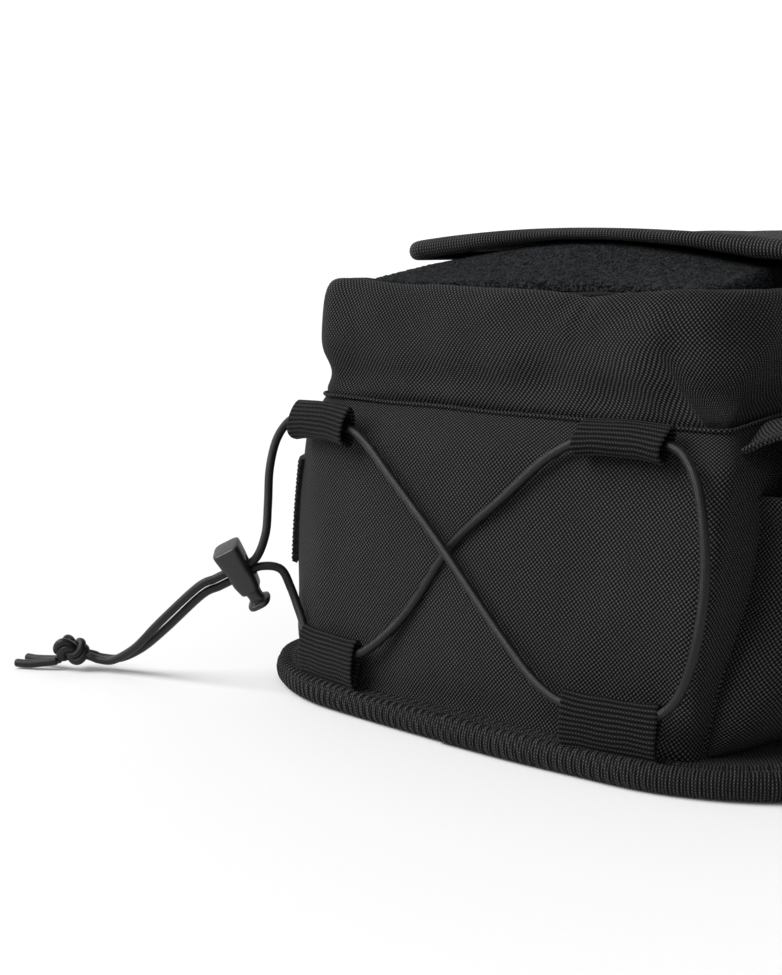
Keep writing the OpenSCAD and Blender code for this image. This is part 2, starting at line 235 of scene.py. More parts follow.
def cloth(name, grid, material, closed=False, closed_rows=False, finer=1, facing=None, thick=0.0,
          flat_uv=False):
    """A surface through grid[row][column]. Its UVs are distances over it in metres, or x and y with flat_uv.
    facing is the way its outside looks; without one the outside is away from its middle."""
    grid = np.asarray(grid, float)
    rows, cols = grid.shape[:2]
    row_steps = rows if closed_rows else rows - 1
    col_steps = cols if closed else cols - 1
    wide = np.concatenate([grid, grid[:, :1]], 1) if closed else grid
    tall = np.concatenate([grid, grid[:1]], 0) if closed_rows else grid
    along = distances(wide[rows // 2])
    up = np.linalg.norm(np.diff(tall, axis=0), axis=2).mean(1)
    up = np.r_[0, np.cumsum(up)]
    r, c = np.meshgrid(np.arange(row_steps), np.arange(col_steps), indexing="ij")
    r, c = r.ravel(), c.ravel()
    corners = [(r, c), (r, c + 1), (r + 1, c + 1), (r + 1, c)]
    faces = np.stack([(a % rows) * cols + b % cols for a, b in corners], 1)
    uv = np.stack([np.stack([along[b], up[a]], 1) for a, b in corners], 1)
    points = grid.reshape(-1, 3)
    if flat_uv:
        uv = points[faces][:, :, :2]
    middle = points[faces].mean(1)
    normal = np.cross(points[faces[:, 2]] - points[faces[:, 0]], points[faces[:, 3]] - points[faces[:, 1]])
    outward = (middle - points.mean(0)) if facing is None else np.array(facing, float)[None]
    if (normal * outward).sum() < 0:
        faces, uv = faces[:, ::-1], uv[:, ::-1]
    mesh = bpy.data.meshes.new(name)
    mesh.from_pydata((points * MM).tolist(), [], faces.tolist())
    mesh.uv_layers.new(name="weave").data.foreach_set("uv", (uv * MM).reshape(-1))
    mesh.polygons.foreach_set("use_smooth", [True] * len(mesh.polygons))
    obj = mesh_object(name, mesh, material)
    steps = []
    if thick:
        steps.append(("SOLIDIFY", {"thickness": thick * MM, "offset": -1}))
    if finer:
        steps.append(("SUBSURF", {"levels": finer}))
    return settle(obj, *steps) if steps else obj


def ring_frames(line, closed=False):
    """Directions across a line that never twist, for sweeping a section along it."""
    p = np.asarray(line, float)
    t = unit(np.roll(p, -1, 0) - np.roll(p, 1, 0) if closed else np.gradient(p, axis=0))
    side = np.cross(t[0], [0, 0, 1] if abs(t[0][2]) < 0.9 else [1, 0, 0])
    sides = []
    for direction in t:
        side = unit(side - direction * (side @ direction))
        sides.append(side)
    sides = np.array(sides)
    return sides, np.cross(t, sides)


def tube(name, line, radius, material, sides=14, closed=False, rounded=0.0):
    """A round cord along a line, of one radius or one for each point; rounded closes its ends over that many
    millimetres."""
    a, b = ring_frames(line, closed)
    turn = np.linspace(0, 2 * math.pi, sides, endpoint=False)
    size = radius * np.ones(len(line))
    if rounded:
        reach = distances(line)
        end = np.minimum(reach, reach[-1] - reach) / rounded
        size *= np.sqrt(np.clip(1 - (1 - np.clip(end, 0, 1)) ** 2, 0.02, 1))
    ring = a[:, None] * np.cos(turn)[:, None] + b[:, None] * np.sin(turn)[:, None]
    grid = np.asarray(line)[:, None] + ring * size[:, None, None]
    return cloth(name, grid, material, closed=True, closed_rows=closed, finer=0)


def finish_piece(obj, body, slot, *nodes):
    """A piece's body and the CAD nodes that it stands for; its finish, given as slot, is not used."""
    if body:
        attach(obj, body)
    if nodes:
        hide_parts(*nodes)
    return obj


# ---------- materials ----------

class Finish:
    """A Principled material being put together, with short names for the nodes that the fabrics share."""

    def __init__(self, name):
        self.material = bpy.data.materials.new(name)
        self.material.use_nodes = True
        self.tree = self.material.node_tree
        self.shader = self.tree.nodes["Principled BSDF"]

    def node(self, kind, settings=None, **inputs):
        made = self.tree.nodes.new(kind)
        for key, value in (settings or {}).items():
            setattr(made, key, value)
        for key, value in inputs.items():
            self.feed(made.inputs[key.replace("_", " ")], value)
        return made

    def feed(self, socket, value):
        if isinstance(value, bpy.types.NodeSocket):
            self.tree.links.new(value, socket)
        else:
            socket.default_value = value

    def math(self, operation, a, b=0.0, added=None):
        """A math node on two values; MULTIPLY_ADD has a third, which is added."""
        made = self.tree.nodes.new("ShaderNodeMath")
        made.operation = operation
        self.feed(made.inputs[0], a)
        self.feed(made.inputs[1], b)
        if added is not None:
            self.feed(made.inputs[2], added)
        return made.outputs[0]

    def blend(self, share, low, high):
        made = self.tree.nodes.new("ShaderNodeMix")
        made.data_type = "RGBA"
        self.feed(made.inputs[0], share)
        self.feed(made.inputs[6], low)
        self.feed(made.inputs[7], high)
        return made.outputs[2]

    def uv(self):
        """Distance along and across the cloth, in metres, slightly uneven as real yarn lies."""
        place = self.node("ShaderNodeUVMap", {"uv_map": "weave"}).outputs[0]
        drift = self.node("ShaderNodeTexNoise", Vector=place, Scale=90.0, Detail=2.0).outputs["Color"]
        scaled = self.node("ShaderNodeVectorMath", {"operation": "SCALE"})
        self.feed(scaled.inputs[0], drift)
        scaled.inputs["Scale"].default_value = 0.0012
        moved = self.node("ShaderNodeVectorMath", {"operation": "ADD"})
        self.feed(moved.inputs[0], place)
        self.feed(moved.inputs[1], scaled.outputs[0])
        split = self.node("ShaderNodeSeparateXYZ", Vector=moved.outputs[0])
        return split.outputs[0], split.outputs[1]

    def noise(self, scale, detail=3.0):
        place = self.node("ShaderNodeTexCoord").outputs["Object"]
        return self.node("ShaderNodeTexNoise", Vector=place, Scale=scale, Detail=detail).outputs[0]

    def wave(self, distance, pitch):
        """A sine that repeats each pitch millimetres."""
        return self.math("SINE", self.math("MULTIPLY", distance, 2 * math.pi / (pitch * MM)))

    def relief(self, height, depth):
        made = self.node("ShaderNodeBump", Strength=1.0, Distance=depth * MM, Height=height)
        self.feed(self.shader.inputs["Normal"], made.outputs[0])

    def surface(self, **values):
        for key, value in values.items():
            self.feed(self.shader.inputs[key.replace("_", " ")], value)
        return self.material


def grey(value, blue=0.0):
    return (value * (1 - blue), value, value * (1 + blue), 1)


def woven(name, thread, low, high, depth, rough=0.72):
    """Plain-weave cloth: warp and weft show in turn, as a checkerboard of small bumps. The base colour carries
    a painted highlight on each thread crown and painted shade in the gaps between them.
    """
    f = Finish(name)
    along, across = f.uv()
    weave = f.math("MULTIPLY", f.wave(along, 2 * thread), f.wave(across, 2 * thread))
    yarn = f.noise(1400.0, 2.0)
    crown = f.math("MULTIPLY_ADD", weave, 0.5, 0.5)
    # painted highlight and shade: the thread crowns are brightened and the gaps between them darkened in the
    # base colour
    painted_crown_light = f.math("MULTIPLY", f.math("POWER", crown, 3.0), f.math("MULTIPLY_ADD", yarn, 1.1, 0.45))
    patch = f.noise(38.0)
    low_colour = f.blend(patch, grey(low * 0.75), grey(low * 1.3))
    high_colour = f.blend(patch, grey(high * 0.8), grey(high * 1.2))
    f.relief(f.math("ADD", crown, f.math("MULTIPLY", yarn, 0.4)), depth)
    return f.surface(Base_Color=f.blend(painted_crown_light, low_colour, high_colour), Roughness=rough,
                     Specular_IOR_Level=0.06, Sheen_Weight=0.03, Sheen_Roughness=0.4)


def ribbed(name, rib, thread, low, high, depth, lengthways=False):
    """Webbing and binding tape: ribs one way, fine threads crossing them the other. The base colour carries a
    painted highlight on the crowns and painted shade in the hollows.
    """
    f = Finish(name)
    along, across = f.uv()
    if lengthways:
        along, across = across, along
    ribs = f.wave(along, rib)
    fine = f.wave(across, thread)
    crossed = f.math("MULTIPLY", fine, f.math("MULTIPLY", ribs, 0.8))
    crown = f.math("MULTIPLY_ADD", f.math("ADD", ribs, crossed), 0.28, 0.5)
    yarn = f.noise(1700.0, 2.0)
    # painted highlight and shade: rib and thread crowns brightened, the hollows between them darkened in the
    # base colour
    painted_crown_light = f.math("MULTIPLY", f.math("POWER", f.math("MAXIMUM", crown, 0.0), 3.0), f.math("ADD", yarn, 0.5))
    patch = f.noise(55.0)
    high_colour = f.blend(patch, grey(high * 0.75), grey(high * 1.25))
    f.relief(f.math("ADD", crown, f.math("MULTIPLY", yarn, 0.3)), depth)
    return f.surface(Base_Color=f.blend(painted_crown_light, grey(low), high_colour), Roughness=0.7,
                     Specular_IOR_Level=0.06, Sheen_Weight=0.03, Sheen_Roughness=0.4)


def pile(name, low, high):
    """Loop pile: a matt fuzz of tiny curls, slightly blue."""
    f = Finish(name)
    curls = f.noise(1500.0)
    tufts = f.noise(420.0)
    patch = f.noise(45.0)
    mixed = f.math("ADD", f.math("MULTIPLY", curls, 0.75), f.math("MULTIPLY", tufts, 0.25))
    tone = f.math("MULTIPLY", f.math("SUBTRACT", mixed, 0.46), 8.0)
    tone.node.use_clamp = True
    high_colour = f.blend(patch, grey(high * 0.8, 0.12), grey(high * 1.2, 0.12))
    f.relief(f.math("ADD", curls, f.math("MULTIPLY", tufts, 0.5)), 0.7)
    return f.surface(Base_Color=f.blend(tone, grey(low, 0.15), high_colour), Roughness=0.95,
                     Specular_IOR_Level=0.04, Sheen_Weight=0.03, Sheen_Roughness=0.5)


def braid(name, low, high):
    """Elastic cord: a fine tight braid with a sheen; its base colour is lighter on the strand crowns and
    darker in the grooves, a painted highlight and painted shade.
    """
    f = Finish(name)
    along, around = f.uv()
    a = f.wave(f.math("ADD", along, around), 0.9)
    b = f.wave(f.math("SUBTRACT", along, around), 0.9)
    crown = f.math("MULTIPLY_ADD", f.math("MULTIPLY", a, b), 0.5, 0.5)
    f.relief(crown, 0.08)
    # painted highlight and shade: the strand crowns brightened and the grooves darkened in the base colour
    tone = f.math("MULTIPLY", crown, f.math("ADD", f.noise(120.0), 0.4))
    return f.surface(Base_Color=f.blend(tone, grey(low), grey(high)), Roughness=0.36,
                     Specular_IOR_Level=0.3, Sheen_Weight=0.04, Sheen_Roughness=0.3)


def plastic(name, tone, rough):
    """Satin moulded plastic with a fine spark finish and faint handling marks."""
    f = Finish(name)
    marks = f.noise(160.0, 5.0)
    f.relief(f.noise(2600.0, 2.0), 0.03)
    gloss = f.math("MULTIPLY_ADD", marks, 0.22, rough - 0.1)
    return f.surface(Base_Color=f.blend(marks, grey(tone * 0.8), grey(tone * 1.2)), Roughness=gloss,
                     Specular_IOR_Level=0.5)


def steel():
    """Drawn spring wire."""
    f = Finish("spring_steel")
    drawn = f.noise(900.0, 4.0)
    f.relief(drawn, 0.02)
    return f.surface(Base_Color=f.blend(drawn, (0.35, 0.35, 0.36, 1), (0.6, 0.6, 0.62, 1)), Roughness=0.3,
                     Metallic=1.0)


def floor_finish():
    """White paper sweep with the faintest tooth."""
    f = Finish("studio_floor")
    f.relief(f.noise(400.0), 0.05)
    return f.surface(Base_Color=(0.8, 0.8, 0.8, 1), Roughness=0.9)


# Thread and rib pitches are in millimetres; low and high are the darkest and brightest shades of a weave. In
# the woven and ribbed cloths and the braid, low is painted shade in the hollows and high a painted highlight
# on the crowns.
OXFORD = woven("oxford_cloth", 0.73, 0.0003, 0.086, 0.42)
LINING = woven("lining_cloth", 0.45, 0.008, 0.080, 0.08, rough=0.6)
TAPE = ribbed("binding_tape", 1.3, 1.0, 0.0003, 0.086, 0.4)
EDGE = ribbed("flap_edge_tape", 1.25, 1.0, 0.0008, 0.110, 0.3, lengthways=True)
WEB = ribbed("loop_webbing", 1.35, 1.0, 0.0003, 0.044, 0.4)
PILE = pile("loop_pile", 0.0005, 0.026)
HOOK = pile("hook_tape", 0.002, 0.016)
BRAID = braid("elastic_braid", 0.0005, 0.007)
PLASTIC = plastic("lock_plastic", 0.010, 0.42)
STEEL = steel()
GRIP = ribbed("grip_rubber", 2.2, 2.2, 0.003, 0.014, 0.2)
FLOOR = floor_finish()


# ---------- camera ----------

EYE = np.array([-546.5, -373.4, 157.35])
EYE_TURN = math.radians(45.25)      # the way it looks, from the x axis towards y
EYE_DIP = math.radians(8.0)
LENS = 66.8


def set_camera():
    """The photograph's viewpoint: level with the top of the bag, facing its corded end and pocket corner."""
    data = bpy.data.cameras.new("camera")
    data.lens = LENS
    data.clip_start = 0.05
    camera = new_object("camera", data)
    camera.location = EYE * MM
    camera.rotation_euler = (math.pi / 2 - EYE_DIP, 0, EYE_TURN - math.pi / 2)
    bpy.context.scene.camera = camera


set_camera()


# ---------- cord and lock ----------

LOCK_AT = np.array([-148.0, 103.0, 41.0])
LOCK_UP = unit([-0.50, 0.17, 0.85])
LOCK_BACK = unit(np.cross(LOCK_UP, [0.53, -0.71, 0.46]))
LOCK_SIDE = np.cross(LOCK_BACK, LOCK_UP)
STRAND = 1.65                       # the two strands' distance from the lock's middle
KNOT_AT = np.array([-176.0, 165.0, 7.0])


def in_lock(x, z):
    """A place across and up the lock, from its middle."""
    return LOCK_AT + x * LOCK_SIDE + z * LOCK_UP


LACING_ROUTE = [
    in_lock(0, STRAND), in_lock(7, STRAND),
    [-141.5, 97, 54], [-138.5, 99, 64], [-135.8, 101, 76], [-132, 101.5, 86], [-129.3, 98, 92.4],
    [-130.4, 91, 93.9], [-133, 76.5, 93.5], [-135, 62, 93], [-135.8, 52, 88.5], [-138, 38, 78.5],
    [-141, 14, 60.5], [-145, -14, 38], [-147, -32, 25], [-147.2, -45, 20.5], [-145.3, -58, 19.5],
    [-143, -71.5, 21.3], [-141.5, -79.5, 29], [-140, -84, 45], [-137, -84, 64], [-133.8, -79.5, 84],
    [-131.3, -72, 95], [-130.6, -62, 97.9], [-130.6, -50, 97.8], [-131, -36, 97], [-132.8, -23, 90.5],
    [-135, -8, 77.5], [-137.5, 12, 60], [-141, 27, 38], [-145, 39, 25], [-146.1, 49, 19.8],
    [-144.4, 61.5, 19.2], [-141, 75, 20.6], [-137.6, 84, 28], [-137, 89, 35.5], [-138.8, 92.3, 42],
    in_lock(7, -STRAND), in_lock(0, -STRAND)]


def tail_route(s):
    """The two cut ends run side by side from the lock to the knot; s is 1 above, -1 below."""
    straight = [in_lock(x, s * STRAND) for x in (-0.4, -9, -16.5)]
    return straight + [
        [-162 - 1.4 * s, 129 + 0.4 * s, 20 + s], [-164.5 - 1.7 * s, 140, 10.5 + 0.3 * s],
        [-167 - 1.8 * s, 150 - 0.4 * s, 5], [-169.5 - 1.4 * s, 156.5 - 1.2 * s, 4.5],
        KNOT_AT + [4.6 - 1.4 * s, -5.6 - 1.2 * s, -1.5],
        KNOT_AT + [1.5 - 0.7 * s, -1.5 - 0.6 * s, -0.5]]


def tip_route(s):
    """A cut end past the knot; s is 1 for the upper tail's, -1 for the lower's."""
    if s > 0:
        return [KNOT_AT + p for p in ([-2, 4, -3.5], [-5, 14, -4.5], [-6.6, 20, -4.5])]
    return [KNOT_AT + p for p in ([-4, 3, -3.5], [-10, 11, -4.9], [-13.5, 17, -5])]


def knot_mesh():
    """Both ends tied together in one overhand knot: a doubled three-lobed wrap."""
    turn = np.linspace(0.35, 2 * math.pi - 0.35, 90)
    lobes = np.stack([np.sin(turn) + 2 * np.sin(2 * turn), np.cos(turn) - 2 * np.cos(2 * turn),
                      -1.5 * np.sin(3 * turn)], 1)
    along = unit([-0.65, 0.76, 0.1])
    across = unit(np.cross([0, 0, 1], along))
    axes = np.stack([along, across, np.cross(along, across)])
    wrap = KNOT_AT + [0, 0, 0.4] + (lobes * [1.65, 1.5, 1.5]) @ axes
    parts = []
    for s in (-1, 1):
        line = wrap + s * 1.25 * (along * 0.5 + [0, 0, 0.8])
        parts.append(tube("knot_strand", line, CORD / 2, BRAID, sides=12))
    return join("end_knot", parts)


def join(name, parts):
    """One mesh from several."""
    whole = bmesh.new()
    for part in parts:
        whole.from_mesh(part.data)
    material = parts[0].data.materials[0]
    for part in parts:
        bpy.data.objects.remove(part)
    mesh = bpy.data.meshes.new(name)
    whole.to_mesh(mesh)
    whole.free()
    return mesh_object(name, mesh, material)


def lofted_lock(name, sections, power):
    """A moulded body along the lock's own axis: each section is height, half depth, half width."""
    turn = np.linspace(0, 2 * math.pi, 48, endpoint=False)
    c = signed_power(np.cos(turn), 2 / power)
    s = signed_power(np.sin(turn), 2 / power)
    grid = [LOCK_AT + z * LOCK_UP + (a * c)[:, None] * LOCK_SIDE + (b * s)[:, None] * LOCK_BACK
            for z, a, b in sections]
    return cloth(name, grid, PLASTIC, closed=True, finer=1)


def cut(piece, name, along, reach, middle, across, up):
    """Cuts a hole along one of the lock's directions, from one distance to another. middle is how far it is
    off the axis; across and up are its half sizes."""
    turn = np.linspace(0, 2 * math.pi, 32, endpoint=False)
    first = LOCK_BACK if along is LOCK_SIDE else LOCK_SIDE
    second = LOCK_UP if along is LOCK_SIDE else LOCK_BACK
    start, end = reach
    grid = [LOCK_AT + d * along + middle * second + (across * open_by * np.cos(turn))[:, None] * first
            + (up * open_by * np.sin(turn))[:, None] * second
            for d, open_by in ((start, 0.05), (start, 1), (end, 1), (end, 0.05))]
    cutter = cloth(name, grid, PLASTIC, closed=True, finer=0)
    settle(piece, ("BOOLEAN", {"operation": "DIFFERENCE", "object": cutter, "solver": "EXACT"}))
    bpy.data.objects.remove(cutter)


def spring():
    """The coil that pushes the button out, made as one fixed coil; it is not closed up when the button is
    pressed.
    """
    turns, low, tall, radius, wire = 5, 5.15, 3.4, 2.5, 0.28
    turn = np.linspace(0, turns * 2 * math.pi, 260)
    height = low + tall * turn / turn[-1]
    line = (LOCK_AT + height[:, None] * LOCK_UP + radius * np.cos(turn)[:, None] * LOCK_SIDE
            + radius * np.sin(turn)[:, None] * LOCK_BACK)
    coil = tube("lock_coil", line, wire, STEEL, sides=8)
    finish_piece(coil, "cord_lock", "spring", "lock_spring")
    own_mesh(coil)


def lock_barrel():
    """The waisted barrel, with the cords' hole across it and the button's bore up it."""
    sections = [(-8.0, 0.2, 0.2), (-8.0, 3.0, 3.8), (-7.8, 3.6, 4.4), (-5.5, 3.9, 4.7), (-3.0, 4.5, 5.0),
                (-1.5, 4.2, 4.9), (1.5, 4.2, 4.9), (3.5, 4.5, 5.1), (5.5, 4.7, 5.3), (9.6, 5.0, 5.6),
                (10.2, 4.9, 5.4), (10.5, 4.3, 4.9), (10.6, 2.4, 2.8), (10.7, 0.2, 0.2)]
    return lofted_lock("lock_body", sections, 4.5)


def lock_button():
    """The button's head below the barrel and its stem inside."""
    sections = [(-14.5, 0.2, 0.2), (-14.5, 3.4, 4.2), (-14.2, 4.1, 4.9), (-12.9, 4.2, 5.0), (-12.4, 3.8, 4.5),
                (-12.1, 2.7, 2.8), (-10.5, 2.4, 2.5), (-8.8, 2.7, 2.8), (-7.5, 2.9, 3.0), (4.6, 2.9, 3.0),
                (4.7, 0.2, 0.2)]
    return lofted_lock("lock_press", sections, 3)


def make_cords():
    """The lock, the lacing from one of its faces round to the other, and the two tails with their knot."""
    lacing_line = resample(smooth_line(LACING_ROUTE, 8), 900)
    lacing = tube("lacing", lacing_line, CORD / 2, BRAID)
    for s, name in ((1, "tip_upper"), (-1, "tip_lower")):
        line = resample(smooth_line(tip_route(s), 8), 40)
        tip = tube(name, line, CORD / 2, BRAID, rounded=0.9)
        finish_piece(tip, "bag", "cord", "cord_" + name)
    knot = finish_piece(knot_mesh(), "bag", "cord", "cord_knot")
    barrel = lock_barrel()
    button = lock_button()
    cut(barrel, "barrel_hole", LOCK_SIDE, reach=(-9, 9), middle=0.4, across=1.9, up=4.0)
    cut(barrel, "barrel_bore", LOCK_UP, reach=(-10, 9), middle=0, across=3.4, up=3.4)
    cut(button, "button_hole", LOCK_SIDE, reach=(-9, 9), middle=-1.5, across=2.4, up=5.8)
    finish_piece(barrel, "cord_lock", "lock", "lock_barrel")
    finish_piece(button, "lock_button", "lock", "lock_plunger")
    finish_piece(lacing, "bag", "cord", "lacing_cord")
    for s, name in ((1, "tail_upper"), (-1, "tail_lower")):
        line = resample(smooth_line(tail_route(s), 8), 150)
        tail = finish_piece(tube(name, line, CORD / 2, BRAID), "bag", "cord", "cord_" + name)


make_cords()
spring()


# ---------- base ----------

def base_line(inset=0.0):
    return outline(BASE_HALF - inset, -BASE_SIDE + inset, BASE_SIDE - inset,
                   BASE_CORNER - inset, BASE_CORNER - inset, BASE_BOW)


def bound_edge():
    """Ribbed tape folded over the padded base's edge, with the step where its ends overlap."""
    count = 3300
    rib_pitch = 1.65
    overlap_spot = (-152, 5)
    # how far in from the edge and how high, from the inner hem over the fold to the underside
    section = [(10.5, 7.4), (9.4, 8.7), (8.0, 9.0), (6.4, 8.8), (5.4, 8.0), (4.6, 8.3), (3.0, 8.9),
               (1.3, 8.2), (0.3, 6.4), (0.0, 4.6), (0.4, 2.5), (1.7, 0.9), (4.0, 0.25), (9.5, 0.2)]
    edge = resample(base_line(), count, closed=True)
    tangent = unit(np.roll(edge, -1, 0) - np.roll(edge, 1, 0))
    inward = np.stack([tangent[:, 1], -tangent[:, 0]], 1)
    place = np.arange(count) * length_of(np.vstack([edge, edge[:1]])) / count
    overlap_at = place[np.argmin(np.hypot(*(edge - overlap_spot).T))]
    back = (overlap_at - place) % place[-1]
    overlap = ramp(back, 0.0, 0.8) * (1 - ramp(back, 26, 60)) * 0.9
    rows = []
    for k, (inset, z) in enumerate(section):
        upper = z > 5                                            # on the tape's top face
        slant = (0.9 * (inset - 5) + 1.5 * np.sin(place / 23.0)) * upper
        rib = 0.22 * np.sin(2 * math.pi * (place + slant) / rib_pitch)
        lift = 0.35 * waves(np.column_stack([edge, np.full(count, float(k))]), 40, 3)
        ring = edge + inward * (inset - (rib + overlap) * (inset < 4))[:, None]
        height = z + (rib * 0.8 + overlap * 0.7 + lift) * (upper and inset > 1.2)
        rows.append(np.column_stack([ring, np.maximum(height, 0.15)]))
    binding = cloth("base_tape", rows, TAPE, closed=True, finer=0)
    finish_piece(binding, "bag", "tape", "base_binding")


def base_cloth():
    """The base's upper cloth outside the body and its underside, both softly quilted by the foam inside."""
    rings = []
    for inset in (8.5, 12, 18, 26, 36, 48):
        plan = base_line(inset)
        rings.append(at_height(plan, 7.9 + 0.4 * plan_waves(plan, 50, 4)))
    upper = cloth("base_upper", rings, OXFORD, closed=True, facing=(0, 0, 1), flat_uv=True)
    finish_piece(upper, "bag", "cloth", "floor_cloth", "base_foam")
    rings = []
    for inset in (8, 16, 30, 48, 60, 80, 100, 118):
        plan = base_line(min(inset, 60)) * (1, 1 - max(inset - 60, 0) / 62)
        rings.append(at_height(plan, 0.45 + 0.3 * plan_waves(plan, 45, 5)))
    under = cloth("base_under", rings, OXFORD, closed=True, facing=(0, 0, -1), flat_uv=True)
    finish_piece(under, "bag", "cloth", "base_cloth", "base_board")


bound_edge()
base_cloth()


# ---------- body ----------

BODY_FOOT = 8
BODY_HEIGHTS = (BODY_FOOT, 45, BEND_Z, SEAM_Z)
# What the body measures at each of those heights
BODY_HALF = (143.5, 137.8, 130.6, 122.2)
BODY_NEAR = (-79, -81, -84, -78.5)
BODY_FAR = (113.5, 112.8, 112, 97.4)
BODY_NEAR_CORNER = (9, 7, 6, 6)
BODY_FAR_CORNER = (50, 45, 38, 16)
BODY_BOW = (8, 6, 4, 1.5)


def body_section(z):
    """Half length, near side, far side, near corner, far corner and bow of the body at a height."""
    puff = 1.6 * math.sin(math.pi * np.clip((z - BODY_FOOT) / 83, 0, 1))
    sizes = (BODY_HALF, BODY_NEAR, BODY_FAR, BODY_NEAR_CORNER, BODY_FAR_CORNER, BODY_BOW)
    half, near, far, near_corner, far_corner, bow = (np.interp(z, BODY_HEIGHTS, size) for size in sizes)
    return half + puff, near, far + puff * 0.4, near_corner, far_corner, bow


def seam_lift(x, y):
    """The seam under the collar runs a little higher along the pocket side."""
    return 3.0 * ramp(x, -121, -92) * (1 - ramp(x, 92, 121)) * (y < -70)


def body_skin():
    """One padded cloth wall round the bag, from the base seam over the soft bend to the collar seam."""
    heights = [6.5, 8, 9.5, 12, 16, 22, *range(28, 78, 7), 83, 87.5, 90, 92, 94.5, 97.5, 99.6, 100.8, 101.2]
    grid = np.array([at_height(outline(*body_section(z), chamfer=2.6), z) for z in heights])
    normals = grid_normals(grid, closed=True)
    x, y, z = grid[..., 0], grid[..., 1], grid[..., 2]
    at_end = np.abs(x) > 100
    depth = 0.9 * waves(grid, 60, 11) + 0.35 * waves(grid, 24, 12)
    depth += 1.6 * bump(z, 11, 4)                                # tucked in at the base seam
    depth += 1.3 * bump(y, -30, 26) * bump(z, 60, 20) * at_end   # a shallow hollow in each end
    for loop_y in (64, -55):                                     # pulled in above the low loops
        depth += 1.1 * bump(y, loop_y, 20) * bump(z, 27, 7) * at_end
    depth += 1.5 * bump(y, -69, 6) * bump(z, 14, 16) * at_end    # a tuck beside the near corner
    fade = ramp(z, 7, 14) * (1 - ramp(z, 96, 101)) * np.where(x < -90, 1.0, 0.9)
    sign = np.sign((normals[..., :2] * grid[..., :2]).sum(-1))[..., None]
    grid = grid - normals * sign * (depth * fade)[..., None]
    grid[..., 2] += seam_lift(grid[..., 0], grid[..., 1]) * ramp(grid[..., 2], 96, 101.2)
    skin = cloth("body_wall", grid, OXFORD, closed=True)
    finish_piece(skin, "bag", "cloth", "end_panel_left", "end_panel_right", "back_panel", "divider_panel",
                 "end_foam_left", "end_foam_right", "back_foam", "divider_foam")


body_skin()


# ---------- collar ----------

def top_lift(y):
    """How the collar's top edge wanders up and down along each end."""
    return (1.2 * bump(y, 78, 15) + 0.9 * bump(y, -60, 12) - 1.1 * bump(y, -2, 34) - 1.5 * bump(y, -26, 9))


def collar_skin():
    """The padded collar: tight at its seam, full above it, with a flat facet up from each near corner."""
    # height and how far it stands out, from the seam up over the rolled rim and down inside
    profile = [(101.0, -1.6), (102.0, -1.1), (103.4, -0.6), (105, -0.6), (107, -1.1), (109.5, -1.5),
               (112.5, -0.6), (116, 0.9), (120, 1.6), (124, 1.6), (128, 1.3), (132, 0.9), (135.5, 0.5),
               (138, 0.0), (139.9, -0.8), (140.9, -2.3), (140.8, -4.2), (139.6, -5.8), (137, -6.7),
               (132, -7.2), (124, -7.4)]
    rim = 15
    rows = []
    for z, out in profile:
        corner = np.interp(z, (101, 126, COLLAR_TOP), (4, 27, 22))
        chamfer = np.interp(z, (101, 116, 132, COLLAR_TOP), (1.25, 1.3, 1.8, 2.0))
        far_corner = np.interp(z, (101, COLLAR_TOP), (8, 15))
        shrink = min(out + 1.0, 0.0)
        rows.append(at_height(outline(COLLAR_HALF + out, COLLAR_NEAR - out, COLLAR_FAR + out,
                                      max(corner + shrink, 3), max(far_corner + shrink, 4), 1.0, chamfer), z))
    grid = np.array(rows)
    normals = grid_normals(grid, closed=True)
    x, y, z = grid[..., 0], grid[..., 1], grid[..., 2]
    at_end = np.abs(x) > 95
    depth = 1.3 * waves(grid, 45, 21) + 0.5 * waves(grid, 18, 22)
    depth += (1.6 * bump(y, -52, 20) + 0.9 * bump(y, 86, 9)) * bump(z, 104.5, 4.5) * at_end
    below = COLLAR_TOP - z
    depth += 0.9 * bump(y, -26, 7 + below * 0.25) * bump(z, 136, 6) * at_end
    valley = ramp(z, 104, 116) * (1 - ramp(z, 136, COLLAR_TOP))     # beside the facet at each near corner
    depth += 2.4 * bump(y, -57 - 0.12 * below, 6) * valley * at_end
    fan = np.arctan2(y + 26, np.maximum(143 - z, 1))
    depth += 0.7 * np.sin(fan * 9) * bump(z, 136, 7) * bump(y, -26, 14) * at_end
    fade = ramp(z, 102, 106) * np.where(np.arange(len(profile)) < rim, 1, 0.4)[:, None]
    outward = np.sign((normals[..., :2] * (grid[..., :2] - [0, 10])).sum(-1))[..., None]
    outward[rim:] = 1
    normals[rim:] = [0, 0, 1]
    grid = grid - normals * outward * (depth * fade)[..., None]
    grid[..., 2] += top_lift(y) * ramp(z, 118, 140) * at_end + seam_lift(x, y) * (1 - ramp(z, 101, 112))
    skin = cloth("collar_wall", grid, OXFORD, closed=True)
    finish_piece(skin, "bag", "cloth", "collar", "collar_foam")


def collar_seam():
    """The body cloth's folded edge, a fine raised line under the collar."""
    count = 700
    plan = resample(outline(122.6, -78.6, 97.8, 5, 16, 1.5), count, closed=True)
    z = 101.6 + seam_lift(plan[:, 0], plan[:, 1]) + 0.25 * plan_waves(plan, 30, 31)
    stitches = 0.6 + 0.04 * np.sin(np.arange(count) * 2 * math.pi / 5)
    welt = tube("seam_edge", np.column_stack([plan, z]), stitches, OXFORD, sides=10, closed=True)
    finish_piece(welt, "bag", "cloth", "collar_welt")


collar_skin()
collar_seam()


# ---------- webbing loops and grip strip ----------

# Centre, turn to follow the corner, lean, height and which edge is sewn down, as on the corded end
LOOPS = {
    "top_back": ([-133, 76.5, 93.5], -8, 6, 13, "top"),
    "top_front": ([-130.6, -50, 97.5], 2, 30, 12, "top"),
    "low_back": ([-144.4, 61.5, 17], -9, 9, 16, "foot"),
    "low_front": ([-145.3, -58, 17], 9, 9, 16, "foot"),
}


